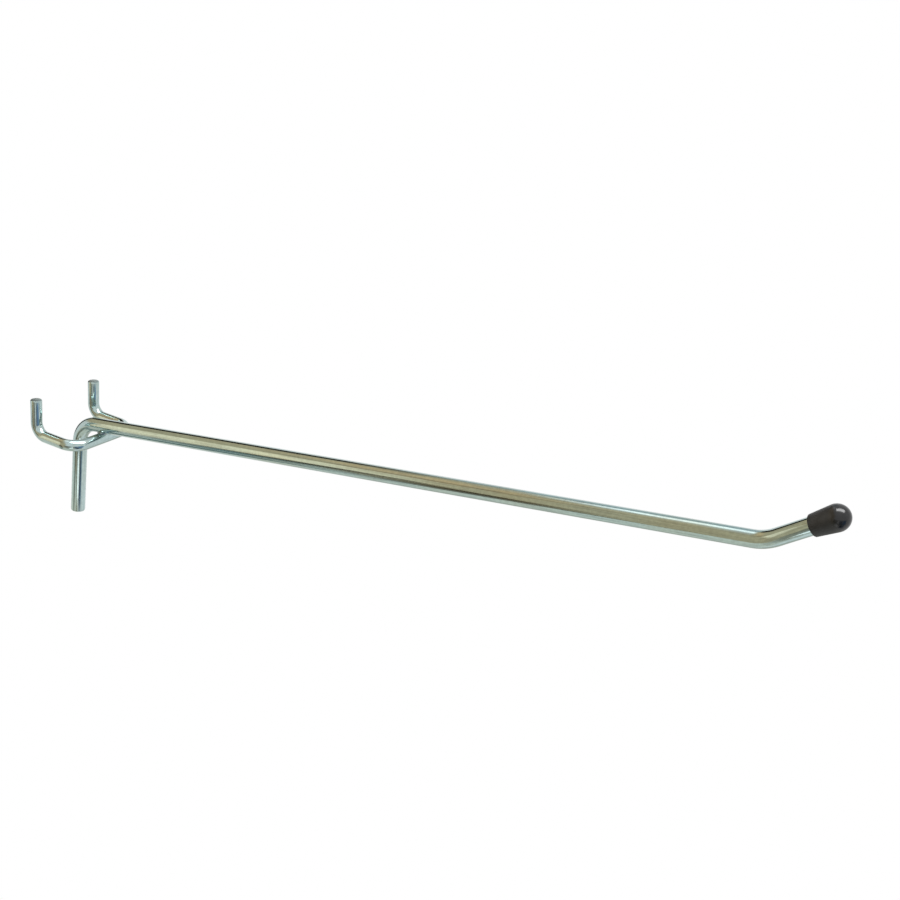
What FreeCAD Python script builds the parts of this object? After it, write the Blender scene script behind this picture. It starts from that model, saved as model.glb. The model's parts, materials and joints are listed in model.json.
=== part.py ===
"""Pegboard hook: a bent steel arm, a thinner prong wire welded under it, and a push-on tip cap.

Millimetres, +Z up. The board's front face is the plane Y = 0, the arm runs out along -Y, and the origin
lies on that face, midway between the two prongs, at the height where their axes pass through the board.
"""

import FreeCAD, Part
import math
import os
import Sketcher

Vector = FreeCAD.Vector

START, END, CENTRE = range(1, 4)
AXIS_H, AXIS_V = range(-1, -3, -1)

# Driving dimensions: alias, value, what it measures.
SIZES = [
    ("prong_pitch", 25.4, "between the two prongs' axes, the board's hole spacing"),
    ("prong_wire_diameter", 3.76, "wire of the prongs and their crossbar"),
    ("board_gap", 2.6, "from the board's front face to the front of a prong's upturned end"),
    ("prong_rise", 12.0, "from a prong's axis to its cut top"),
    ("prong_bend_radius", 4.2, "bend of a prong's upturned end, on the axis"),
    ("crossbar_reach", 12.7, "from the board's front face to the crossbar's axis"),
    ("crossbar_corner_radius", 5.2, "bend from the crossbar into a prong, on the axis"),
    ("prong_droop", 3.0, "degrees that the prongs fall towards the back of the board"),
    ("weld_set_down", 0.15, "how far the weld presses the arm into the crossbar"),
    ("weld_flash_diameter", 3.0, "metal squeezed out round the weld"),
    ("arm_wire_diameter", 4.76, "wire of the leg, arm and tip"),
    ("leg_drop", 29.7, "from the prongs' axes to the leg's foot"),
    ("arm_bend_radius", 8.5, "bend from the leg into the arm, on the axis"),
    ("arm_rise_angle", 11.6, "degrees that the arm climbs away from the board"),
    ("arm_length", 237.5, "along the arm's axis, from its corner over the leg to the knee"),
    ("knee_radius", 14.0, "bend from the arm into the tip, on the axis"),
    ("tip_bend_angle", 27.0, "degrees that the tip turns up from the arm"),
    ("tip_length", 20.8, "along the tip's axis, from the knee's corner to the cut end"),
    ("end_chamfer", 0.3, "broken edge at each cut end of both wires"),
    ("cap_length", 10.1, "over all"),
    ("cap_end_wall", 2.6, "thickness of the closed end, beyond the wire"),
    ("cap_bore_clearance", 0.03, "all round the wire in the bore"),
    ("cap_wall", 0.52, "thickness of the side at the open end"),
    ("cap_flare", 0.55, "how much further out the side stands where the dome begins"),
    ("cap_dome_length", 3.9, "of the domed end, along the cap's axis"),
    ("cap_nose_radius", 2.2, "profile radius of the dome's very end"),
    ("cap_rim_round", 0.2, "rounding of the mouth's outer edge"),
]
size = {alias: value for alias, value, note in SIZES}

doc = FreeCAD.newDocument("PegboardHook")


def make_sheet():
    """The spreadsheet that every size of the model is bound to."""
    sheet = doc.addObject("Spreadsheet::Sheet", "Sizes")
    for row, (alias, value, note) in enumerate(SIZES, start=1):
        sheet.set(f"A{row}", alias)
        sheet.set(f"B{row}", str(value))
        sheet.setAlias(f"B{row}", alias)
        sheet.set(f"C{row}", note)
    doc.recompute()


def make_body(name):
    """An empty body of the document."""
    return doc.addObject("PartDesign::Body", name)


def origin_plane(body, role):
    """One of a body's own origin planes."""
    return next(feature for feature in body.Origin.OriginFeatures if feature.Role == role)


def make_sketch(body, name, role, offset=None):
    """A sketch on one of the body's origin planes, moved along its normal by an expression."""
    sketch = body.newObject("Sketcher::SketchObject", name)
    sketch.AttachmentSupport = (origin_plane(body, role), [""])
    sketch.MapMode = "FlatFace"
    if offset:
        sketch.setExpression("AttachmentOffset.Base.z", offset)
    return sketch


def bind(sketch, name, expression, *constraint):
    """A dimension of a sketch, named and driven by the sheet."""
    index = sketch.addConstraint(Sketcher.Constraint(*constraint))
    sketch.renameConstraint(index, name)
    sketch.setExpression(f"Constraints.{name}", expression)


def wire_axis(sketch, corners, bends):
    """Straight runs from corner to corner, with a tangent arc at each inner one, whose radius is a named size.

    Returns the runs and the inner corners, which stay in the sketch as construction points.
    """
    starts = list(corners[:-1])
    ends = list(corners[1:])
    arcs = []
    for index, bend in enumerate(bends, start=1):
        corner = corners[index]
        before = (corners[index - 1] - corner).normalize()
        after = (corners[index + 1] - corner).normalize()
        half = before.getAngle(after) / 2
        ends[index - 1] = corner + before * (size[bend] / math.tan(half))
        starts[index] = corner + after * (size[bend] / math.tan(half))
        centre = corner + (before + after).normalize() * (size[bend] / math.sin(half))
        turns_left = before.cross(after).z < 0
        first, last = (ends[index - 1], starts[index]) if turns_left else (starts[index], ends[index - 1])
        angles = [math.atan2(point.y - centre.y, point.x - centre.x) for point in (first, last)]
        circle = Part.Circle(centre, Vector(0, 0, 1), size[bend])
        arcs.append((Part.ArcOfCircle(circle, *angles), turns_left))
    runs = [sketch.addGeometry(Part.LineSegment(a, b)) for a, b in zip(starts, ends)]
    points = []
    for index, (bend, (arc, turns_left)) in enumerate(zip(bends, arcs), start=1):
        curve = sketch.addGeometry(arc)
        near, far = (START, END) if turns_left else (END, START)
        sketch.addConstraint(Sketcher.Constraint("Tangent", runs[index - 1], END, curve, near))
        sketch.addConstraint(Sketcher.Constraint("Tangent", curve, far, runs[index], START))
        bind(sketch, f"bend_{index}", f"Sizes.{bend}", "Radius", curve, size[bend])
        point = sketch.addGeometry(Part.Point(corners[index]), True)
        for run in (runs[index - 1], runs[index]):
            sketch.addConstraint(Sketcher.Constraint("PointOnObject", point, START, run))
        points.append(point)
    return runs, points


def wire_section(sketch, across, up, diameter):
    """A round section, centred by two expressions on the sketch's own axes."""
    radius = size[diameter] / 2
    circle = sketch.addGeometry(Part.Circle(Vector(0, 0, 0), Vector(0, 0, 1), radius))
    bind(sketch, "diameter", f"Sizes.{diameter}", "Diameter", circle, 2 * radius)
    for name, kind, axis, expression in (
        ("across", "DistanceX", AXIS_V, across),
        ("up", "DistanceY", AXIS_H, up),
    ):
        if expression:
            bind(sketch, name, expression, kind, circle, CENTRE, 0.0)
        else:
            sketch.addConstraint(Sketcher.Constraint("PointOnObject", circle, CENTRE, axis))


def sweep(body, name, section, axis):
    """Round wire along a sketched axis."""
    pipe = body.newObject("PartDesign::AdditivePipe", name)
    pipe.Profile = section
    pipe.Spine = axis
    doc.recompute()
    return pipe


def edge_names(shape, wanted):
    """Names of the edges of a shape that pass a test."""
    return [f"Edge{index}" for index, edge in enumerate(shape.Edges, start=1) if wanted(edge)]


def break_cut_ends(body, name, wire):
    """Chamfers round the flat ends where the wire was cut."""
    flat = [face for face in wire.Shape.Faces if isinstance(face.Surface, Part.Plane)]
    rims = [edge for face in flat for edge in face.Edges]
    chamfer = body.newObject("PartDesign::Chamfer", name)
    chamfer.Base = (wire, edge_names(wire.Shape, lambda edge: any(edge.isSame(rim) for rim in rims)))
    chamfer.setExpression("Size", "Sizes.end_chamfer")
    doc.recompute()


def make_arm_wire():
    """Leg flat on the board, bend, long climbing arm, knee and upturned tip, all one wire."""
    body = make_body("ArmWire")
    body.Label = "arm_wire"
    rise = math.radians(size["arm_rise_angle"])
    turn = rise + math.radians(size["tip_bend_angle"])
    droop = math.radians(size["prong_droop"])
    leg = -size["arm_wire_diameter"] / 2
    spacing = (size["arm_wire_diameter"] + size["prong_wire_diameter"]) / 2 - size["weld_set_down"]
    crossbar = Vector(-math.cos(droop), math.sin(droop), 0) * size["crossbar_reach"]
    top = crossbar.y + spacing / math.cos(rise) - (leg - crossbar.x) * math.tan(rise)

    corner = Vector(leg, top, 0)
    knee = corner + Vector(-math.cos(rise), math.sin(rise), 0) * size["arm_length"]
    tip = knee + Vector(-math.cos(turn), math.sin(turn), 0) * size["tip_length"]
    foot = Vector(leg, -size["leg_drop"], 0)

    axis = make_sketch(body, "ArmAxis", "YZ_Plane")
    (leg_run, arm_run, tip_run), (corner_point, knee_point) = wire_axis(
        axis, [foot, corner, knee, tip], ["arm_bend_radius", "knee_radius"]
    )
    axis.addConstraint(Sketcher.Constraint("Vertical", leg_run))
    bind(axis, "leg_place", "-Sizes.arm_wire_diameter / 2", "DistanceX", leg_run, START, foot.x)
    bind(axis, "leg_foot", "-Sizes.leg_drop", "DistanceY", leg_run, START, foot.y)

    weld = axis.addGeometry(Part.Point(crossbar), True)
    reach = "Sizes.crossbar_reach"
    bind(axis, "weld_out", f"-{reach} * cos(Sizes.prong_droop * 1 deg)", "DistanceX", weld, START, crossbar.x)
    bind(axis, "weld_up", f"{reach} * sin(Sizes.prong_droop * 1 deg)", "DistanceY", weld, START, crossbar.y)
    seat = "(Sizes.arm_wire_diameter + Sizes.prong_wire_diameter) / 2 - Sizes.weld_set_down"
    bind(axis, "weld_seat", seat, "Distance", weld, START, arm_run, spacing)

    climb = "180 - Sizes.arm_rise_angle"
    bind(axis, "climb", climb, "Angle", arm_run, math.pi - rise)
    bind(axis, "upturn", f"{climb} - Sizes.tip_bend_angle", "Angle", tip_run, math.pi - turn)
    arm_ends = (corner_point, START, knee_point, START)
    bind(axis, "arm_length", "Sizes.arm_length", "Distance", *arm_ends, size["arm_length"])
    tip_ends = (knee_point, START, tip_run, END)
    bind(axis, "tip_length", "Sizes.tip_length", "Distance", *tip_ends, size["tip_length"])

    for name, kind, value in (("end_out", "DistanceX", tip.x), ("end_up", "DistanceY", tip.y)):
        index = axis.addConstraint(Sketcher.Constraint(kind, tip_run, END, value))
        axis.setDriving(index, False)
        axis.renameConstraint(index, name)

    section = make_sketch(body, "ArmSection", "XY_Plane", "-Sizes.leg_drop")
    wire_section(section, None, "-Sizes.arm_wire_diameter / 2", "arm_wire_diameter")
    wire = sweep(body, "ArmSweep", section, axis)
    break_cut_ends(body, "ArmCutEnds", wire)
    return body


def make_prong_wire(arm_wire):
    """Crossbar and two prongs of one thinner wire, seated on the arm's underside by its weld."""
    body = make_body("ProngStaple")
    half = size["prong_pitch"] / 2
    reach = size["crossbar_reach"]
    upright = size["board_gap"] + size["prong_wire_diameter"] / 2
    setback = "(Sizes.board_gap + Sizes.prong_wire_diameter / 2)"

    # The two sweeps of a prong meet halfway along its straight run.
    middle = (upright - size["prong_bend_radius"] - reach + size["crossbar_corner_radius"]) / 2
    back_end = f"{setback} - Sizes.prong_bend_radius"
    front_end = "Sizes.crossbar_corner_radius - Sizes.crossbar_reach"
    halfway = f"({back_end} + {front_end}) / 2"

    plan = make_sketch(body, "CrossbarAxis", "XY_Plane")
    outline = [(-half, middle), (-half, -reach), (half, -reach), (half, middle)]
    corners = [Vector(x, y, 0) for x, y in outline]
    (left, bar, right), points = wire_axis(plan, corners, ["crossbar_corner_radius"] * 2)
    for kind, run in (("Vertical", left), ("Horizontal", bar), ("Vertical", right)):
        plan.addConstraint(Sketcher.Constraint(kind, run))
    for name, sign, run, end in (("left", "-", left, START), ("right", "", right, END)):
        x = -half if sign else half
        bind(plan, f"{name}_place", f"{sign}Sizes.prong_pitch / 2", "DistanceX", run, end, x)
        bind(plan, f"{name}_end", halfway, "DistanceY", run, end, middle)
    bind(plan, "reach", "-Sizes.crossbar_reach", "DistanceY", points[0], START, -reach)
    plan_section = make_sketch(body, "CrossbarSection", "XZ_Plane", f"-{halfway}")
    wire_section(plan_section, "-Sizes.prong_pitch / 2", None, "prong_wire_diameter")
    sweep(body, "CrossbarSweep", plan_section, plan)

    side = make_sketch(body, "ProngAxis", "YZ_Plane", "-Sizes.prong_pitch / 2")
    outline = [(middle, 0), (upright, 0), (upright, size["prong_rise"])]
    corners = [Vector(y, z, 0) for y, z in outline]
    (run, rise), points = wire_axis(side, corners, ["prong_bend_radius"])
    side.addConstraint(Sketcher.Constraint("PointOnObject", run, START, AXIS_H))
    side.addConstraint(Sketcher.Constraint("Horizontal", run))
    side.addConstraint(Sketcher.Constraint("Vertical", rise))
    bind(side, "start", halfway, "DistanceX", run, START, middle)
    bind(side, "setback", setback, "DistanceX", points[0], START, upright)
    bind(side, "rise", "Sizes.prong_rise", "DistanceY", rise, END, size["prong_rise"])
    side_section = make_sketch(body, "ProngSection", "XZ_Plane", f"-{halfway}")
    wire_section(side_section, "-Sizes.prong_pitch / 2", None, "prong_wire_diameter")
    prong = sweep(body, "ProngSweep", side_section, side)

    pair = body.newObject("PartDesign::Mirrored", "ProngPair")
    pair.Originals = [prong]
    pair.MirrorPlane = (origin_plane(body, "YZ_Plane"), [""])
    body.Tip = pair
    doc.recompute()
    break_cut_ends(body, "ProngCutEnds", pair)

    flash = make_sketch(body, "WeldFlashOutline", "XY_Plane")
    wire_section(flash, None, "-Sizes.crossbar_reach", "weld_flash_diameter")
    pad = body.newObject("PartDesign::Pad", "WeldFlash")
    pad.Profile = flash
    pad.setExpression("Length", "(Sizes.arm_wire_diameter + Sizes.prong_wire_diameter) / 2")
    body.Placement.Rotation = FreeCAD.Rotation(Vector(-1, 0, 0), size["prong_droop"])
    body.setExpression("Placement.Rotation.Angle", "Sizes.prong_droop")
    doc.recompute()

    seated = doc.addObject("Part::Cut", "ProngWire")
    seated.Label = "prong_wire"
    seated.Base = body
    seated.Tool = arm_wire
    doc.recompute()
    return seated


def make_tip_cap():
    """Moulded cap: flared side, domed end and a blind bore that the wire's end bottoms in."""
    body = make_body("TipCap")
    body.Label = "tip_cap"
    length = size["cap_length"]
    depth = length - size["cap_end_wall"]
    bore = size["arm_wire_diameter"] / 2 + size["cap_bore_clearance"]
    mouth = bore + size["cap_wall"]
    shoulder = mouth + size["cap_flare"]
    nose_radius = size["cap_nose_radius"]
    bore_radius = "Sizes.arm_wire_diameter / 2 + Sizes.cap_bore_clearance"
    mouth_radius = f"{bore_radius} + Sizes.cap_wall"
    bore_depth = "(Sizes.cap_length - Sizes.cap_end_wall)"

    # First guess of the dome: a large arc from the side, tangent to a small one round the very end.
    outline = make_sketch(body, "CapOutline", "YZ_Plane")
    dome_foot = length - size["cap_dome_length"]
    nose_centre = Vector(0, length - nose_radius, 0)
    rise = nose_centre.y - dome_foot
    dome_radius = (shoulder**2 + rise**2 - nose_radius**2) / (2 * (shoulder - nose_radius))
    dome_centre = Vector(shoulder - dome_radius, dome_foot, 0)
    meet = math.atan2(rise, -dome_centre.x)
    dome_circle = Part.Circle(dome_centre, Vector(0, 0, 1), dome_radius)
    nose_circle = Part.Circle(nose_centre, Vector(0, 0, 1), nose_radius)
    foot = Vector(mouth, 0, 0)
    inner = [Vector(0, depth, 0), Vector(bore, depth, 0), Vector(bore, 0, 0)]

    flare = outline.addGeometry(Part.LineSegment(foot, Vector(shoulder, dome_foot, 0)))
    dome = outline.addGeometry(Part.ArcOfCircle(dome_circle, 0, meet))
    nose = outline.addGeometry(Part.ArcOfCircle(nose_circle, meet, math.pi / 2))
    core = outline.addGeometry(Part.LineSegment(Vector(0, length, 0), inner[0]))
    floor = outline.addGeometry(Part.LineSegment(inner[0], inner[1]))
    wall = outline.addGeometry(Part.LineSegment(inner[1], inner[2]))
    rim = outline.addGeometry(Part.LineSegment(inner[2], foot))

    outline.addConstraint(Sketcher.Constraint("Tangent", flare, END, dome, START))
    outline.addConstraint(Sketcher.Constraint("Tangent", dome, END, nose, START))
    for first, second in ((nose, core), (core, floor), (floor, wall), (wall, rim), (rim, flare)):
        outline.addConstraint(Sketcher.Constraint("Coincident", first, END, second, START))
    outline.addConstraint(Sketcher.Constraint("PointOnObject", nose, CENTRE, AXIS_V))
    outline.addConstraint(Sketcher.Constraint("PointOnObject", core, START, AXIS_V))
    outline.addConstraint(Sketcher.Constraint("PointOnObject", core, END, AXIS_V))
    outline.addConstraint(Sketcher.Constraint("Horizontal", floor))
    outline.addConstraint(Sketcher.Constraint("Vertical", wall))
    outline.addConstraint(Sketcher.Constraint("PointOnObject", rim, START, AXIS_H))
    outline.addConstraint(Sketcher.Constraint("PointOnObject", rim, END, AXIS_H))
    bind(outline, "mouth", mouth_radius, "DistanceX", flare, START, mouth)
    bind(outline, "shoulder", f"{mouth_radius} + Sizes.cap_flare", "DistanceX", flare, END, shoulder)
    dome_place = "Sizes.cap_length - Sizes.cap_dome_length"
    bind(outline, "dome_foot", dome_place, "DistanceY", flare, END, dome_foot)
    bind(outline, "nose_radius", "Sizes.cap_nose_radius", "Radius", nose, nose_radius)
    bind(outline, "length", "Sizes.cap_length", "DistanceY", nose, END, length)
    bind(outline, "bore", bore_radius, "DistanceX", wall, START, bore)
    bind(outline, "depth", bore_depth, "DistanceY", wall, START, depth)

    turned = body.newObject("PartDesign::Revolution", "CapTurned")
    turned.Profile = outline
    turned.ReferenceAxis = (outline, ["V_Axis"])
    turned.Angle = 360
    doc.recompute()

    def on_mouth_rim(edge):
        """Whether an edge is the outer circle of the open end."""
        round_edge = not edge.Degenerated and isinstance(edge.Curve, Part.Circle)
        return round_edge and math.isclose(edge.Curve.Radius, mouth)

    rounding = body.newObject("PartDesign::Fillet", "CapRim")
    rounding.Base = (turned, edge_names(turned.Shape, on_mouth_rim))
    rounding.setExpression("Radius", "Sizes.cap_rim_round")

    turn = "(Sizes.arm_rise_angle + Sizes.tip_bend_angle) * 1 deg"
    tilt = 90 - size["arm_rise_angle"] - size["tip_bend_angle"]
    body.Placement.Rotation = FreeCAD.Rotation(Vector(1, 0, 0), tilt)
    body.setExpression("Placement.Rotation.Angle", "90 - Sizes.arm_rise_angle - Sizes.tip_bend_angle")
    depth_held = f"{bore_depth} * 1 mm"
    body.setExpression("Placement.Base.y", f"ArmAxis.Constraints.end_out + {depth_held} * cos({turn})")
    body.setExpression("Placement.Base.z", f"ArmAxis.Constraints.end_up - {depth_held} * sin({turn})")
    doc.recompute()
    return body


def check_document(parts):
    """Stops the build if any object failed, or a sub-part isn't one valid solid."""
    for item in doc.Objects:
        if "Invalid" in item.State or "Error" in item.State:
            raise RuntimeError(f"{item.Label} failed: {item.State}")
    for part in parts:
        if part.Shape.isNull() or not part.Shape.isValid() or len(part.Shape.Solids) != 1:
            raise RuntimeError(f"{part.Label} isn't one valid solid")


make_sheet()
arm = make_arm_wire()
nodes = [arm, make_prong_wire(arm), make_tip_cap()]
check_document(nodes)

os.makedirs("parts", exist_ok=True)
for node in nodes:
    node.Shape.exportStep(f"parts/{node.Label}.step")
    bounds = node.Shape.BoundBox
    print(f"{node.Label}: {node.Shape.Volume:.1f} mm3, Y {bounds.YMin:.2f} to {bounds.YMax:.2f},"
          f" Z {bounds.ZMin:.2f} to {bounds.ZMax:.2f}")
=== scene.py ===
"""Pegboard hook: fine wires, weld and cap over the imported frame, their finishes, and a plain white studio.

Metres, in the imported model's frame: the board's front face is the plane Y = 0, and the arm runs out along -Y.
"""

import json
import math

import bpy
from mathutils import Matrix, Vector


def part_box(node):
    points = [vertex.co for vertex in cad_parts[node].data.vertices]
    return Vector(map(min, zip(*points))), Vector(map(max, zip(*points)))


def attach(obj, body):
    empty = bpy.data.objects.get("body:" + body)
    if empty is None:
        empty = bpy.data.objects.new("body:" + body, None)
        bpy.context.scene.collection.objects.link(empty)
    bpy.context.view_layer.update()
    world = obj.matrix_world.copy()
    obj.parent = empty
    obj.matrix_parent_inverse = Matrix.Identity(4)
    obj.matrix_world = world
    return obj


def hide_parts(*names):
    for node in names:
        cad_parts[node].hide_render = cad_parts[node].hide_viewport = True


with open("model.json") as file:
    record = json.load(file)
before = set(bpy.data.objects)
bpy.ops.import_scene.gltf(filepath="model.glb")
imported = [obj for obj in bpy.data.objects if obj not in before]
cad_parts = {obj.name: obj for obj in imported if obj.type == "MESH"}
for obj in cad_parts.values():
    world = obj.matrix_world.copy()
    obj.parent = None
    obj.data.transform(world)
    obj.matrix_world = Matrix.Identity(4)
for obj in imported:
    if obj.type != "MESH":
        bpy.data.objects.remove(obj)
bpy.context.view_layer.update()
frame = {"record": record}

bl_info = {
    "name": "Pegboard Hook",
    "version": (1, 0, 0),
    "blender": (4, 5, 0),
    "location": "View3D > Sidebar > Hook",
    "description": "Models a plated wire pegboard hook with a black tip cap, and a white studio for it",
    "category": "Add Mesh",
}

MM = 0.001
MOUNTS = {mount["name"]: mount for mount in frame["record"]["mounts"]}
PRONG = MOUNTS["prong_right"]
RAIL = MOUNTS["arm_rail"]
LEG_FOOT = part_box("arm_wire")[0].z

WIRE_SIDES = 48
BEND_STEP = math.radians(3)
SMOOTH_ANGLE = math.radians(35)
MERGE_DISTANCE = 0.001 * MM
CAP_SIDES = 72
RIM_STEPS = 6
DOME_STEPS = 20
NOSE_STEPS = 6

# The weld's collar: half its height as a share of its radius, then each ring's growth and how oval that
# makes it.
WELD_SIDES = 32
WELD_HALF_HEIGHT = 0.65
WELD_RINGS = ((1.08, 0.04), (1.04, 0.02), (0.97, -0.03), (0.92, -0.02))


def length_property(name, description, default):
    """A size of the hook, in metres."""
    return bpy.props.FloatProperty(
        name=name, description=description, default=default, unit="LENGTH", precision=5
    )


def angle_property(name, description, default):
    """An angle of the hook, in radians."""
    return bpy.props.FloatProperty(name=name, description=description, default=default, unit="ROTATION")


def linear(hex_colour):
    """A linear colour from an sRGB hex value such as "#c8ccc6"."""
    channels = [int(hex_colour[place:place + 2], 16) / 255 for place in (1, 3, 5)]
    levels = [value / 12.92 if value <= 0.04045 else ((value + 0.055) / 1.055) ** 2.4 for value in channels]
    return [*levels, 1.0]


def colour_property(name, description, hex_colour):
    """A colour of a finish."""
    return bpy.props.FloatVectorProperty(
        name=name, description=description, default=linear(hex_colour), size=4, subtype="COLOR", min=0, max=1
    )


class HookColours(bpy.types.PropertyGroup):
    """Colours of the plate, the bare steel and the vinyl."""

    zinc: colour_property("Zinc", "Cool grey of the bright zinc plate", "#b5cac9")
    straw: colour_property("Straw", "Faint bloom of the passivated plate", "#bdc4b2")
    bare_steel: colour_property("Bare steel", "Dull metal at the cut ends and the weld", "#54565a")
    vinyl: colour_property("Vinyl", "Black of the cap", "#0d0e0f")
    worn_vinyl: colour_property("Worn vinyl", "Slightly greyed patches of the cap", "#232425")


class HookSizes(bpy.types.PropertyGroup):
    """Sizes of the two wires and of the cap."""

    prong_pitch: length_property("Prong pitch", "Between the prongs' axes", 2 * PRONG["pos_m"][0])
    prong_wire: length_property("Prong wire", "Diameter of the prong wire", 2 * PRONG["dims"]["r_mm"] * MM)
    prong_droop: angle_property("Prong droop", "Fall of the prongs to the back", math.asin(PRONG["axis"][1]))
    board_gap: length_property("Board gap", "From the board's face to a prong's upturned end", 2.6 * MM)
    prong_rise: length_property("Prong rise", "From a prong's axis to its cut top", 12.0 * MM)
    prong_bend: length_property("Prong bend", "Bend radius of the upturned ends, on the axis", 4.2 * MM)
    crossbar_reach: length_property("Crossbar reach", "From the board's face to the crossbar", 12.7 * MM)
    crossbar_bend: length_property("Crossbar bend", "Bend radius at its two ends, on the axis", 5.2 * MM)
    arm_wire: length_property("Arm wire", "Diameter of the arm wire", 2 * RAIL["dims"]["r_mm"] * MM)
    arm_climb: angle_property("Arm climb", "Climb of the arm away from the board", math.asin(RAIL["axis"][2]))
    arm_length: length_property("Arm length", "From the corner over the leg to the knee", 237.5 * MM)
    arm_bend: length_property("Arm bend", "Bend radius from leg to arm, on the axis", 8.5 * MM)
    leg_foot: length_property("Leg foot", "Height of the leg's foot", LEG_FOOT)
    knee_bend: length_property("Knee bend", "Bend radius from arm to tip, on the axis", 14.0 * MM)
    tip_upturn: angle_property("Tip upturn", "Angle that the tip turns up from the arm", math.radians(27))
    tip_length: length_property("Tip length", "From the knee's corner to the cut end", 20.8 * MM)
    end_rounding: length_property("End rounding", "Rounded edge at each cut end", 0.3 * MM)
    weld_depth: length_property("Weld depth", "How far the weld presses the wires together", 0.15 * MM)
    weld_flash: length_property("Weld flash", "Diameter of the metal squeezed out at the weld", 3.0 * MM)
    cap_length: length_property("Cap length", "Over all", 10.1 * MM)
    cap_end_wall: length_property("Cap end wall", "Thickness of the closed end", 2.6 * MM)
    cap_room: length_property("Cap room", "Clearance round the wire", 0.03 * MM)
    cap_wall: length_property("Cap wall", "Thickness of the side at the mouth", 0.52 * MM)
    cap_flare: length_property("Cap flare", "Widening of the side up to the dome", 0.55 * MM)
    cap_dome: length_property("Cap dome", "Length of the domed end", 3.9 * MM)
    cap_nose: length_property("Cap nose", "Profile radius of the very end", 2.2 * MM)
    cap_rim: length_property("Cap rim", "Rounding of the mouth's outer edge", 0.2 * MM)


def hook_sizes():
    """The sizes that the operators model from."""
    return bpy.context.scene.hook_sizes


def hook_colours():
    """The colours that the finishes are mixed from."""
    return bpy.context.scene.hook_colours


def arm_corners(sizes):
    """The arm wire's axis: foot, corner over the leg, knee and cut end."""
    radius = sizes.arm_wire / 2
    seat = radius + sizes.prong_wire / 2 - sizes.weld_depth
    out, up = weld_place(sizes)
    corner_up = up + seat / math.cos(sizes.arm_climb) - (out - radius) * math.tan(sizes.arm_climb)
    corner = Vector((0, -radius, corner_up))
    knee = corner + climbing(sizes.arm_climb) * sizes.arm_length
    return [
        Vector((0, -radius, sizes.leg_foot)),
        corner,
        knee,
        knee + climbing(sizes.arm_climb + sizes.tip_upturn) * sizes.tip_length,
    ]


def weld_place(sizes):
    """How far out from the board and how high the crossbar's axis passes under the arm."""
    out = sizes.crossbar_reach * math.cos(sizes.prong_droop)
    up = sizes.crossbar_reach * math.sin(sizes.prong_droop)
    return out, up


def climbing(angle):
    """Direction away from the board, turned up by an angle."""
    return Vector((0, -math.cos(angle), math.sin(angle)))


def prong_corners(sizes):
    """The prong wire's axis, from one upturned end round the crossbar to the other."""
    half = sizes.prong_pitch / 2
    upright = sizes.board_gap + sizes.prong_wire / 2
    level = [
        (-half, upright, sizes.prong_rise),
        (-half, upright, 0),
        (-half, -sizes.crossbar_reach, 0),
        (half, -sizes.crossbar_reach, 0),
        (half, upright, 0),
        (half, upright, sizes.prong_rise),
    ]
    droop = Matrix.Rotation(-sizes.prong_droop, 3, "X")
    return [droop @ Vector(point) for point in level]


def wire_steps(corners, bends):
    """The runs and bends of a wire, as ("run", vector) and ("bend", centre, axis, angle)."""
    steps = []
    here = corners[0]
    for index, radius in enumerate(bends, start=1):
        corner = corners[index]
        before = (corner - corners[index - 1]).normalized()
        after = (corners[index + 1] - corner).normalized()
        angle = before.angle(after)
        setback = radius * math.tan(angle / 2)
        steps.append(("run", corner - before * setback - here))
        centre = corner + (after - before).normalized() * radius / math.cos(angle / 2)
        steps.append(("bend", centre, before.cross(after).normalized(), angle))
        here = corner + after * setback
    steps.append(("run", corners[-1] - here))
    return steps


def clear_selection():
    """Object mode, with nothing selected."""
    if bpy.context.object and bpy.context.object.mode != "OBJECT":
        bpy.ops.object.mode_set(mode="OBJECT")
    bpy.ops.object.select_all(action="DESELECT")


def selected_centre(piece):
    """Middle of the selected vertices, in edit mode."""
    piece.update_from_editmode()
    chosen = [vertex.co for vertex in piece.data.vertices if vertex.select]
    return sum(chosen, Vector()) / len(chosen)


def pull_ring(offset):
    """Pulls the selected ring out into a new one."""
    bpy.ops.mesh.extrude_edges_move(TRANSFORM_OT_translate={"value": offset})


def keep_values(piece, name, kind, field, values):
    """Gives each vertex a value of its own, for a finish to read."""
    attribute = piece.data.attributes.new(name, kind, "POINT")
    for item, value in zip(attribute.data, values):
        setattr(item, field, value)


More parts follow.
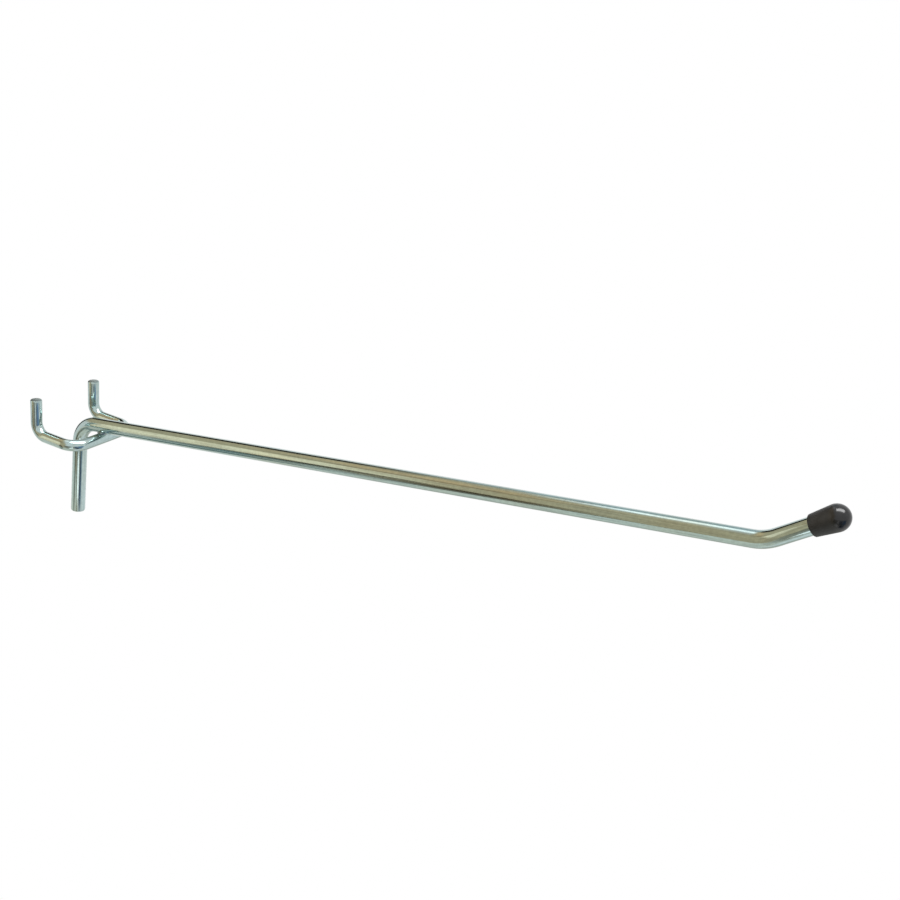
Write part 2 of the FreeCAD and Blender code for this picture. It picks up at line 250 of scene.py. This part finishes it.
def model_wire(name, corners, bends, radius, rounding):
    """A bent wire with rounded cut ends, modelled from its first end.

    Each vertex also keeps its place across and along the wire, for a finish that follows the wire, and a
    value from 0 on the wire's side to 1 on a cut end, where the metal is dull. The place along the wire
    counts up faster and faster through a bend, so that a pattern is finer there.
    """
    clear_selection()
    steps = wire_steps(corners, bends)
    heading = steps[0][1].normalized()
    turned = heading.to_track_quat("Z", "Y").to_euler()
    bpy.ops.mesh.primitive_circle_add(
        vertices=WIRE_SIDES,
        radius=radius - rounding,
        fill_type="NOTHING",
        location=corners[0],
        rotation=turned,
    )
    piece = bpy.context.object
    piece.name = name
    piece.data.name = name
    bpy.ops.object.transform_apply(location=True, rotation=True, scale=True)
    bpy.ops.object.mode_set(mode="EDIT")
    bpy.ops.mesh.select_mode(type="EDGE")
    bpy.ops.mesh.select_all(action="SELECT")

    # The edge of a cut end is a quarter round, in two steps. A station is a ring's place along the wire and
    # its radius.
    half_turn = rounding * math.sin(math.radians(45))
    edge = [(0, radius - rounding), (rounding - half_turn, radius - rounding + half_turn), (rounding, radius)]
    stations = [edge[0]]

    def step_edge(before, after, direction):
        pull_ring(direction * abs(after[0] - before[0]))
        grow = after[1] / before[1]
        bpy.ops.transform.resize(value=(grow, grow, grow), center_override=selected_centre(piece))
        stations.append((stations[-1][0] + abs(after[0] - before[0]), after[1]))

    for before, after in zip(edge, edge[1:]):
        step_edge(before, after, heading)
    last = len(steps) - 1
    for index, step in enumerate(steps):
        if step[0] == "run":
            trim = rounding * ((index == 0) + (index == last))
            direction = step[1].normalized()
            length = step[1].length - trim
            pull_ring(direction * length)
            stations.append((stations[-1][0] + length, radius))
        else:
            centre, axis, angle = step[1:]
            count = math.ceil(angle / BEND_STEP)
            arc = (selected_centre(piece) - centre).length * angle
            bpy.ops.mesh.spin(steps=count, angle=-angle, center=centre, axis=axis)
            for part in range(1, count + 1):
                stations.append((stations[-1][0] + arc * part / count, radius))
    for before, after in zip(edge[::-1], edge[-2::-1]):
        step_edge(before, after, direction)
    bpy.ops.mesh.edge_face_add()

    # The first ring, still open, is closed too.
    bpy.ops.object.mode_set(mode="OBJECT")
    for vertex in piece.data.vertices:
        vertex.select = vertex.index < WIRE_SIDES
    for line in piece.data.edges:
        line.select = all(piece.data.vertices[end].select for end in line.vertices)
    for face in piece.data.polygons:
        face.select = False
    bpy.ops.object.mode_set(mode="EDIT")
    bpy.ops.mesh.edge_face_add()
    bpy.ops.mesh.select_all(action="SELECT")
    bpy.ops.mesh.normals_make_consistent(inside=False)
    bpy.ops.object.mode_set(mode="OBJECT")
    if len(piece.data.vertices) != WIRE_SIDES * len(stations):
        raise RuntimeError(f"{name} has {len(piece.data.vertices)} vertices, not {len(stations)} rings")

    turns = [2 * math.pi * side / WIRE_SIDES for side in range(WIRE_SIDES)]
    straight = [
        (reach * math.cos(turn), reach * math.sin(turn), along) for along, reach in stations for turn in turns
    ]
    keep_values(piece, "straight", "FLOAT_VECTOR", "vector", straight)
    dull = [(radius - reach) / rounding for _, reach in stations for _ in turns]
    keep_values(piece, "dull", "FLOAT", "value", dull)
    bpy.ops.object.shade_smooth_by_angle(angle=SMOOTH_ANGLE)
    return piece


def model_weld(name, sizes):
    """The metal squeezed out between crossbar and arm: a low bulged collar, its ends inside the two wires."""
    clear_selection()
    out, up = weld_place(sizes)
    across = Vector((0, math.sin(sizes.arm_climb), math.cos(sizes.arm_climb)))
    contact = Vector((0, -out, up)) + across * (sizes.prong_wire - sizes.weld_depth) / 2
    radius = sizes.weld_flash / 2
    half = WELD_HALF_HEIGHT * radius
    rise = across * 2 * half / len(WELD_RINGS)
    bpy.ops.mesh.primitive_circle_add(
        vertices=WELD_SIDES,
        radius=radius,
        fill_type="NGON",
        location=contact - across * half,
        rotation=across.to_track_quat("Z", "Y").to_euler(),
    )
    piece = bpy.context.object
    piece.name = name
    bpy.ops.object.transform_apply(location=True, rotation=True, scale=True)
    bpy.ops.object.mode_set(mode="EDIT")
    bpy.ops.mesh.select_all(action="SELECT")
    for growth, oval in WELD_RINGS:
        bpy.ops.mesh.extrude_region_move(TRANSFORM_OT_translate={"value": rise})
        stretch = (growth + oval, growth - oval, 1)
        bpy.ops.transform.resize(value=stretch, center_override=selected_centre(piece))
    bpy.ops.mesh.select_all(action="SELECT")
    bpy.ops.mesh.normals_make_consistent(inside=False)
    bpy.ops.object.mode_set(mode="OBJECT")
    places = [vertex.co.copy() for vertex in piece.data.vertices]
    keep_values(piece, "straight", "FLOAT_VECTOR", "vector", places)
    keep_values(piece, "dull", "FLOAT", "value", [1.0] * len(places))
    bpy.ops.object.shade_smooth_by_angle(angle=SMOOTH_ANGLE)
    return piece


def arc_points(centre, radius, first, last, count):
    """Points round an arc in the (out, along) plane, without its first one."""
    turns = [first + (last - first) * step / count for step in range(1, count + 1)]
    return [(centre[0] + radius * math.cos(turn), centre[1] + radius * math.sin(turn)) for turn in turns]


def cap_profile(sizes):
    """The cap's section in the XZ plane, from the bore's floor round the mouth and on to the nose."""
    bore = sizes.arm_wire / 2 + sizes.cap_room
    depth = sizes.cap_length - sizes.cap_end_wall
    mouth = bore + sizes.cap_wall
    shoulder = mouth + sizes.cap_flare
    dome_foot = sizes.cap_length - sizes.cap_dome
    nose_along = sizes.cap_length - sizes.cap_nose
    rise = nose_along - dome_foot

    # The dome's large arc leaves the flared side tangent to it, and runs into the small arc of the nose.
    lean = math.atan2(sizes.cap_flare, dome_foot)
    inward = shoulder * math.cos(lean) + rise * math.sin(lean) - sizes.cap_nose
    dome_radius = (shoulder**2 + rise**2 - sizes.cap_nose**2) / (2 * inward)
    dome_centre = (shoulder - dome_radius * math.cos(lean), dome_foot + dome_radius * math.sin(lean))
    meet = math.atan2(nose_along - dome_centre[1], -dome_centre[0])

    rim = sizes.cap_rim
    profile = [(0, depth), (bore, depth), (bore, 0), (mouth - rim, 0)]
    profile += arc_points((mouth - rim, rim), rim, math.radians(-90), 0, RIM_STEPS)
    profile.append((shoulder, dome_foot))
    profile += arc_points(dome_centre, dome_radius, -lean, meet, DOME_STEPS)
    profile += arc_points((0, nose_along), sizes.cap_nose, meet, math.radians(90), NOSE_STEPS)
    return [Vector((out, 0, along)) for out, along in profile]


def model_cap(name, sizes):
    """The cap, turned about Z from its section, then set on the wire's end.

    Each vertex keeps its place along the cap, from 0 at the mouth to 1 at the nose, for the finish.
    """
    clear_selection()
    profile = cap_profile(sizes)
    bpy.ops.mesh.primitive_plane_add(size=MM)
    piece = bpy.context.object
    piece.name = name
    piece.data.name = name
    bpy.ops.object.mode_set(mode="EDIT")
    bpy.ops.mesh.select_mode(type="VERT")
    bpy.ops.mesh.select_all(action="SELECT")
    bpy.ops.mesh.merge(type="CENTER")
    bpy.ops.transform.translate(value=profile[0])
    for before, after in zip(profile, profile[1:]):
        bpy.ops.mesh.extrude_region_move(TRANSFORM_OT_translate={"value": after - before})
    bpy.ops.mesh.select_all(action="SELECT")
    bpy.ops.mesh.spin(steps=CAP_SIDES, angle=2 * math.pi, center=(0, 0, 0), axis=(0, 0, 1))
    bpy.ops.mesh.select_all(action="SELECT")
    bpy.ops.mesh.remove_doubles(threshold=MERGE_DISTANCE)
    bpy.ops.mesh.normals_make_consistent(inside=False)
    bpy.ops.object.mode_set(mode="OBJECT")
    along = [vertex.co.z / sizes.cap_length for vertex in piece.data.vertices]
    keep_values(piece, "along", "FLOAT", "value", along)
    direction = climbing(sizes.arm_climb + sizes.tip_upturn)
    piece.rotation_euler = direction.to_track_quat("Z", "Y").to_euler()
    piece.location = arm_corners(sizes)[-1] - direction * (sizes.cap_length - sizes.cap_end_wall)
    bpy.ops.object.transform_apply(location=True, rotation=True, scale=True)
    bpy.ops.object.shade_smooth_by_angle(angle=SMOOTH_ANGLE)
    return piece


def add_node(tree, kind, inputs=None, **settings):
    """Adds one node with its settings, and sets or links its inputs."""
    node = tree.nodes.new(kind)
    for name, value in settings.items():
        setattr(node, name, value)
    for name, value in (inputs or {}).items():
        if isinstance(value, bpy.types.NodeSocket):
            tree.links.new(value, node.inputs[name])
        else:
            node.inputs[name].default_value = value
    return node


def new_material(name):
    """An empty material with its output node."""
    material = bpy.data.materials.new(name)
    material.use_nodes = True
    tree = material.node_tree
    tree.nodes.clear()
    return material, tree, add_node(tree, "ShaderNodeOutputMaterial")


def pattern(tree, place, across, along, detail):
    """A soft irregular pattern, its marks of one size across (X and Y) and one along (Z)."""
    scale = (1 / across, 1 / across, 1 / along)
    spread = add_node(tree, "ShaderNodeMapping", {"Vector": place, "Scale": scale}).outputs["Vector"]
    noise = add_node(tree, "ShaderNodeTexNoise", {"Vector": spread, "Scale": 1.0, "Detail": detail})
    return noise.outputs["Fac"]


def tint(tree, under, over, strength, low, high, most):
    """Lays one colour over another by a pattern's strength: none of it at low, and the most at high."""
    limits = {"Value": strength, "From Min": low, "From Max": high, "To Max": most}
    share = add_node(tree, "ShaderNodeMapRange", limits).outputs["Result"]
    layers = {"Factor": share, "A": under, "B": over}
    return add_node(tree, "ShaderNodeMix", layers, data_type="RGBA").outputs["Result"]


def zinc_plated_steel():
    """Bright zinc plate on drawn wire.

    To the eye: a cool grey mirror that draws the studio out into long light and dark lines, with a faint
    straw bloom, hair-fine drawing marks along the wire, a fine mottle, and dull bare metal at the cuts and
    the weld.
    """
    colours = hook_colours()
    material, tree, output = new_material("Bright zinc plate on drawn steel wire")
    place = add_node(tree, "ShaderNodeAttribute", attribute_name="straight").outputs["Vector"]
    dull = add_node(tree, "ShaderNodeAttribute", attribute_name="dull").outputs["Fac"]
    bloom = pattern(tree, place, across=8 * MM, along=22 * MM, detail=2.0)
    mottle = pattern(tree, place, across=0.8 * MM, along=1 * MM, detail=2.0)
    waves = pattern(tree, place, across=0.5 * MM, along=3 * MM, detail=2.0)
    # Real drawing marks are finer than 0.1 mm. These are drawn as coarse as they need to be to show.
    marks = pattern(tree, place, across=0.3 * MM, along=14 * MM, detail=3.0)

    plate = tint(tree, colours.zinc, colours.straw, bloom, low=0.4, high=0.7, most=0.4)
    plate = tint(tree, plate, colours.bare_steel, marks, low=0.45, high=0.7, most=0.3)
    plate = tint(tree, plate, colours.bare_steel, mottle, low=0.35, high=0.65, most=0.16)
    plate = tint(tree, plate, colours.bare_steel, dull, low=0.3, high=1.0, most=0.45)
    limits = {"Value": marks, "From Min": 0.35, "From Max": 0.7, "To Min": 0.1, "To Max": 0.15}
    gloss = add_node(tree, "ShaderNodeMapRange", limits).outputs["Result"]
    dulled = {0: dull, 1: 0.25, 2: gloss}
    roughness = add_node(tree, "ShaderNodeMath", dulled, operation="MULTIPLY_ADD").outputs["Value"]
    relief = add_node(tree, "ShaderNodeBump", {"Strength": 0.25, "Distance": 0.006 * MM, "Height": waves})
    shader = add_node(
        tree,
        "ShaderNodeBsdfPrincipled",
        {"Base Color": plate, "Metallic": 1.0, "Roughness": roughness, "Normal": relief.outputs["Normal"]},
    )
    tree.links.new(shader.outputs["BSDF"], output.inputs["Surface"])
    return material


def black_vinyl():
    """Black dip-moulded vinyl.

    To the eye: a soft black, satin on its side and polished by handling at its nose, with a sheen that
    breaks up a little and faint greyed patches.
    """
    colours = hook_colours()
    material, tree, output = new_material("Black dip-moulded vinyl")
    place = add_node(tree, "ShaderNodeTexCoord").outputs["Object"]
    along = add_node(tree, "ShaderNodeAttribute", attribute_name="along").outputs["Fac"]
    patches = pattern(tree, place, across=2.2 * MM, along=2.2 * MM, detail=3.0)
    grain = pattern(tree, place, across=0.25 * MM, along=0.25 * MM, detail=2.0)

    colour = tint(tree, colours.vinyl, colours.worn_vinyl, patches, low=0.4, high=0.75, most=1.0)
    limits = {"Value": patches, "From Min": 0.3, "From Max": 0.7, "To Min": 0.12, "To Max": 0.2}
    gloss = add_node(tree, "ShaderNodeMapRange", limits).outputs["Result"]
    limits = {"Value": along, "From Min": 0.55, "From Max": 0.8, "To Min": 0.34, "To Max": 0.0}
    satin = add_node(tree, "ShaderNodeMapRange", limits).outputs["Result"]
    roughness = add_node(tree, "ShaderNodeMath", {0: gloss, 1: satin}, operation="ADD").outputs["Value"]
    relief = add_node(tree, "ShaderNodeBump", {"Strength": 0.15, "Distance": 0.01 * MM, "Height": grain})
    shader = add_node(
        tree,
        "ShaderNodeBsdfPrincipled",
        {"Base Color": colour, "Roughness": roughness, "Normal": relief.outputs["Normal"]},
    )
    tree.links.new(shader.outputs["BSDF"], output.inputs["Surface"])
    return material


def finish_piece(piece, node, material):
    """Gives a piece its finish, and puts it in the frame in place of its CAD node."""
    piece.data.materials.clear()
    piece.data.materials.append(material)
    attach(piece, "root")
    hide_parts(node)


class HOOK_OT_arm_wire(bpy.types.Operator):
    """Models the leg, arm, knee and tip as one bent wire"""

    bl_idname = "hook.arm_wire"
    bl_label = "Arm Wire"

    def execute(self, context):
        sizes = hook_sizes()
        corners = arm_corners(sizes)
        bends = [sizes.arm_bend, sizes.knee_bend]
        piece = model_wire("arm_wire_fine", corners, bends, sizes.arm_wire / 2, sizes.end_rounding)
        finish_piece(piece, "arm_wire", zinc_plated_steel())
        return {"FINISHED"}


class HOOK_OT_prong_wire(bpy.types.Operator):
    """Models the crossbar and its two prongs as one bent wire"""

    bl_idname = "hook.prong_wire"
    bl_label = "Prong Wire"

    def execute(self, context):
        sizes = hook_sizes()
        corners = prong_corners(sizes)
        bends = [sizes.prong_bend, sizes.crossbar_bend, sizes.crossbar_bend, sizes.prong_bend]
        weld = model_weld("weld_flash", sizes)
        piece = model_wire("prong_wire_fine", corners, bends, sizes.prong_wire / 2, sizes.end_rounding)
        weld.select_set(True)
        bpy.ops.object.join()
        finish_piece(piece, "prong_wire", zinc_plated_steel())
        return {"FINISHED"}


class HOOK_OT_tip_cap(bpy.types.Operator):
    """Models the push-on cap over the tip"""

    bl_idname = "hook.tip_cap"
    bl_label = "Tip Cap"

    def execute(self, context):
        piece = model_cap("tip_cap_fine", hook_sizes())
        finish_piece(piece, "tip_cap", black_vinyl())
        return {"FINISHED"}


# The studio, in metres, watts and degrees. A direction is an azimuth, from -Y towards +X, and an elevation.
# The surround and the softbox together light a matt colour about as it is written.
STUDIO_CENTRE = Vector((0, -0.11, 0.02))
FLOOR_DROP = 4.5
FLOOR_SIZE = 60.0
SURROUND_LIGHT = 0.3
SOFTBOX_DISTANCE = 2.0
SOFTBOX_SIZE = (0.85, 1.95)
SOFTBOX_POWER = 47.0
SOFTBOX_DIRECTION = (25, 80)
SOFTBOX_LIES_ALONG = 26

# The camera, in metres, degrees and, for its lens and sensor, millimetres.
CAMERA_PLACE = (-0.320199, -0.323792, 0.204583)
CAMERA_DIRECTION = (-60.562, 23.787)
CAMERA_ROLL = 8.305
CAMERA_LENS = 58.0
CAMERA_SENSOR = 36.0
CAMERA_CLIP = (0.01, 100.0)

# How far off the first board stands, how much nearer each next one is, and the least half width of a
# board's solid middle, as a share of the softness of its edge.
CARD_DISTANCE = 4.0
CARD_SPACING = 0.02
CARD_LEAST_MIDDLE = 0.02

# Colours of the boards' paper, paint and cloth.
BOARD_COLOURS = {
    "white": "#ffffff",
    "paper": "#eeeee4",
    "cream": "#ffeccc",
    "khaki": "#d6c3a2",
    "tan": "#f2cea2",
    "taupe": "#9a9484",
    "brown": "#443420",
    "black": "#1c1b1a",
    "silver": "#bccace",
    "slate": "#92a2b2",
    "teal": "#6a8486",
    "navy": "#40506a",
    "blue": "#7098c4",
}

# Boards, curtains and flags round the hook that its bright wires mirror, each in front of the one before:
# the azimuth and elevation of its middle, half its width and height, its tilt and the softness of its edge,
# all in degrees as seen from the hook, then its colour and brightness.
CARDS = [
    ("camera_side", -52, -18, 46, 22, 0, 12, "paper", 0.45),
    ("low_paper", 228, -60, 38, 32, 0, 24, "paper", 1.0),
    ("far_paper", 100, -62, 22, 20, 0, 12, "paper", 0.75),
    ("back_wall", 195, 36, 50, 20, 0, 15, "khaki", 1.0),
    ("side_wall", 245, -4, 19, 36, 0, 15, "khaki", 1.0),
    ("curtain", 128, 36, 12, 12, 10, 10, "silver", 1.0),
    ("window", 161, 55, 11, 4, 24, 5, "white", 1.9),
    ("doorway", 151, 27, 12, 9, 30, 6, "black", 1.0),
    ("door_post", 167, 1, 10, 20, 27, 7, "black", 1.0),
    ("tan_panel", 192, 44, 14, 5, 0, 8, "tan", 1.0),
    ("tan_rail", 219, 34, 6, 5, 0, 6, "tan", 0.6),
    ("bright_panel", 223, 9, 8, 17, 27, 8, "cream", 1.35),
    ("bright_strip", 229, -8, 6, 9, 10, 6, "cream", 1.2),
    ("black_flag", 234.5, -15, 2.6, 11, -11, 4, "black", 1.0),
    ("side_edge", 229, -33, 3, 11, -25, 5, "teal", 1.0),
    ("low_edge", 208, -54, 12, 4, 16, 5, "teal", 0.9),
    ("brown_flag", 242.5, -22, 3.5, 10, -4, 5, "brown", 1.0),
    ("long_drape", -88, -36, 5, 24, 33, 8, "taupe", 1.2),
    ("short_drape", 241.5, -36.5, 4, 10, -37, 5, "taupe", 0.6),
    ("strip_light", -65, -38, 9, 8, 0, 5, "white", 1.9),
    ("slate_drape", -14, -36, 8, 14, 10, 8, "slate", 1.0),
    ("navy_drape", -29, -40, 8, 12, -25, 8, "navy", 1.0),
    ("navy_card", -40, -10, 7, 12, 0, 7, "navy", 2.0),
    ("blue_card", -14, -10, 13, 13, 0, 9, "blue", 0.95),
    ("prong_light", -60, -10, 6, 11, 0, 5, "white", 1.1),
    ("prong_drape", -90, -10, 9, 13, 0, 6, "taupe", 1.0),
]


def bearing(azimuth, elevation):
    """Direction from the hook, by azimuth from -Y towards +X and elevation, both in degrees."""
    turn, climb = math.radians(azimuth), math.radians(elevation)
    level = math.cos(climb)
    return Vector((math.sin(turn) * level, -math.cos(turn) * level, math.sin(climb)))


def add_camera():
    """The camera at the photograph's viewing angle, tilted a little about its own axis as there."""
    data = bpy.data.cameras.new("studio_camera")
    data.lens = CAMERA_LENS
    data.sensor_width = CAMERA_SENSOR
    data.clip_start, data.clip_end = CAMERA_CLIP
    camera = bpy.data.objects.new("studio_camera", data)
    bpy.context.scene.collection.objects.link(camera)
    upright = (-bearing(*CAMERA_DIRECTION)).to_track_quat("-Z", "Y")
    roll = Matrix.Rotation(math.radians(CAMERA_ROLL), 3, "Z").to_quaternion()
    camera.rotation_mode = "QUATERNION"
    camera.rotation_quaternion = upright @ roll
    camera.location = CAMERA_PLACE
    bpy.context.scene.camera = camera


def background_rays(tree):
    """1 for rays that show the background: from the camera, or mirrored or let through by the hook."""
    path = add_node(tree, "ShaderNodeLightPath")
    total = path.outputs["Is Camera Ray"]
    for kind in ("Is Glossy Ray", "Is Transmission Ray"):
        either = {0: total, 1: path.outputs[kind]}
        total = add_node(tree, "ShaderNodeMath", either, operation="MAXIMUM").outputs["Value"]
    return total


def add_floor():
    """A plain white floor, far below the hook, which hangs as it would on its board."""
    clear_selection()
    bpy.ops.mesh.primitive_plane_add(size=FLOOR_SIZE, location=(0, 0, -FLOOR_DROP))
    floor = bpy.context.object
    floor.name = "studio_floor"
    material, tree, output = new_material("Matt white paper sweep")
    diffuse = add_node(tree, "ShaderNodeBsdfDiffuse", {"Color": linear("#f2f2f2")})
    white = add_node(tree, "ShaderNodeEmission", {"Color": linear("#ffffff"), "Strength": 1.0})
    choice = {0: background_rays(tree), 1: diffuse.outputs["BSDF"], 2: white.outputs["Emission"]}
    mix = add_node(tree, "ShaderNodeMixShader", choice)
    tree.links.new(mix.outputs["Shader"], output.inputs["Surface"])
    floor.data.materials.append(material)


def add_world():
    """White surround: plain white as a background, and softer as the light that falls on the hook."""
    world = bpy.data.worlds.new("studio")
    bpy.context.scene.world = world
    world.use_nodes = True
    tree = world.node_tree
    tree.nodes.clear()
    levels = {"Value": background_rays(tree), "To Min": SURROUND_LIGHT, "To Max": 1.0}
    strength = add_node(tree, "ShaderNodeMapRange", levels).outputs["Result"]
    light = add_node(tree, "ShaderNodeBackground", {"Color": linear("#ffffff"), "Strength": strength})
    output = add_node(tree, "ShaderNodeOutputWorld")
    tree.links.new(light.outputs["Background"], output.inputs["Surface"])


def add_softbox():
    """The main light: a long softbox almost overhead."""
    data = bpy.data.lights.new("softbox", "AREA")
    data.shape = "RECTANGLE"
    data.size, data.size_y = SOFTBOX_SIZE
    data.energy = SOFTBOX_POWER
    softbox = bpy.data.objects.new("softbox", data)
    bpy.context.scene.collection.objects.link(softbox)
    toward = bearing(*SOFTBOX_DIRECTION)
    width = bearing(SOFTBOX_LIES_ALONG, 0).cross(toward).normalized()
    softbox.location = STUDIO_CENTRE + toward * SOFTBOX_DISTANCE
    softbox.rotation_euler = Matrix((width, toward.cross(width), toward)).transposed().to_euler()
    softbox.visible_camera = False


def card_material():
    """Evenly lit board: its own colour, fading out at the edge."""
    material, tree, output = new_material("Evenly lit studio board")
    cover = add_node(tree, "ShaderNodeAttribute", attribute_name="cover").outputs["Fac"]
    soft = add_node(tree, "ShaderNodeMapRange", {"Value": cover}, interpolation_type="SMOOTHSTEP")
    colour = add_node(tree, "ShaderNodeObjectInfo").outputs["Color"]
    lit = add_node(tree, "ShaderNodeEmission", {"Color": colour})
    clear = add_node(tree, "ShaderNodeBsdfTransparent")
    choice = {0: soft.outputs["Result"], 1: clear.outputs["BSDF"], 2: lit.outputs["Emission"]}
    mix = add_node(tree, "ShaderNodeMixShader", choice)
    tree.links.new(mix.outputs["Shader"], output.inputs["Surface"])
    material.cycles.emission_sampling = "NONE"
    return material


def add_card(name, place, distance, half, tilt, soft, colour, material):
    """One board facing the hook, with a solid middle and a rim over which it fades out.

    Its angles are in degrees.
    """
    clear_selection()
    toward = bearing(*place)
    facing = toward.to_track_quat("Z", "Y") @ Matrix.Rotation(math.radians(tilt), 3, "Z").to_quaternion()
    centre = STUDIO_CENTRE + toward * distance
    bpy.ops.mesh.primitive_plane_add(size=2, location=centre, rotation=facing.to_euler())
    card = bpy.context.object
    card.name = name
    least = CARD_LEAST_MIDDLE * soft
    inner = [distance * math.tan(math.radians(max(side - soft / 2, least))) for side in half]
    outer = [distance * math.tan(math.radians(side + soft / 2)) for side in half]
    card.scale = (*inner, 1)
    bpy.ops.object.transform_apply(location=False, rotation=False, scale=True)
    bpy.ops.object.mode_set(mode="EDIT")
    bpy.ops.mesh.select_mode(type="EDGE")
    bpy.ops.mesh.select_all(action="SELECT")
    bpy.ops.mesh.extrude_edges_move()
    grow = [wide / narrow for wide, narrow in zip(outer, inner)]
    bpy.ops.transform.resize(value=(*grow, 1), orient_type="LOCAL", center_override=card.location)
    bpy.ops.object.mode_set(mode="OBJECT")
    border = (inner[0] + outer[0]) / 2
    cover = [float(abs(vertex.co.x) < border) for vertex in card.data.vertices]
    keep_values(card, "cover", "FLOAT", "value", cover)
    card.data.materials.append(material)
    card.color = colour
    card.visible_camera = False
    card.visible_shadow = False


def add_cards():
    """All the boards, each a little nearer than the one before."""
    material = card_material()
    distance = CARD_DISTANCE
    for name, azimuth, elevation, width, height, tilt, soft, tone, level in CARDS:
        place = (azimuth, elevation)
        half = (width, height)
        colour = [channel * level for channel in linear(BOARD_COLOURS[tone])]
        add_card(name, place, distance, half, tilt, soft, colour, material)
        distance -= CARD_SPACING


class HOOK_OT_stage(bpy.types.Operator):
    """Makes the floor, the surround, the softbox, the mirrored boards and the camera"""

    bl_idname = "hook.stage"
    bl_label = "Studio Stage"

    def execute(self, context):
        add_floor()
        add_world()
        add_softbox()
        add_cards()
        add_camera()
        context.scene.view_settings.view_transform = "Standard"
        return {"FINISHED"}


class HOOK_PT_panel(bpy.types.Panel):
    """Lists the hook's pieces and sizes"""

    bl_idname = "HOOK_PT_panel"
    bl_label = "Pegboard Hook"
    bl_space_type = "VIEW_3D"
    bl_region_type = "UI"
    bl_category = "Hook"

    def draw(self, context):
        for operator in PIECES:
            self.layout.operator(operator.bl_idname)
        for group in (context.scene.hook_sizes, context.scene.hook_colours):
            for name in type(group).__annotations__:
                self.layout.prop(group, name)


PIECES = (HOOK_OT_arm_wire, HOOK_OT_prong_wire, HOOK_OT_tip_cap, HOOK_OT_stage)
CLASSES = (HookSizes, HookColours, *PIECES, HOOK_PT_panel)


def register():
    for cls in CLASSES:
        bpy.utils.register_class(cls)
    bpy.types.Scene.hook_sizes = bpy.props.PointerProperty(type=HookSizes)
    bpy.types.Scene.hook_colours = bpy.props.PointerProperty(type=HookColours)


def unregister():
    del bpy.types.Scene.hook_colours
    del bpy.types.Scene.hook_sizes
    for cls in reversed(CLASSES):
        bpy.utils.unregister_class(cls)


def main():
    """Models every piece in order."""
    register()
    bpy.ops.hook.arm_wire()
    bpy.ops.hook.prong_wire()
    bpy.ops.hook.tip_cap()
    bpy.ops.hook.stage()


if __name__ == "__main__":
    main()
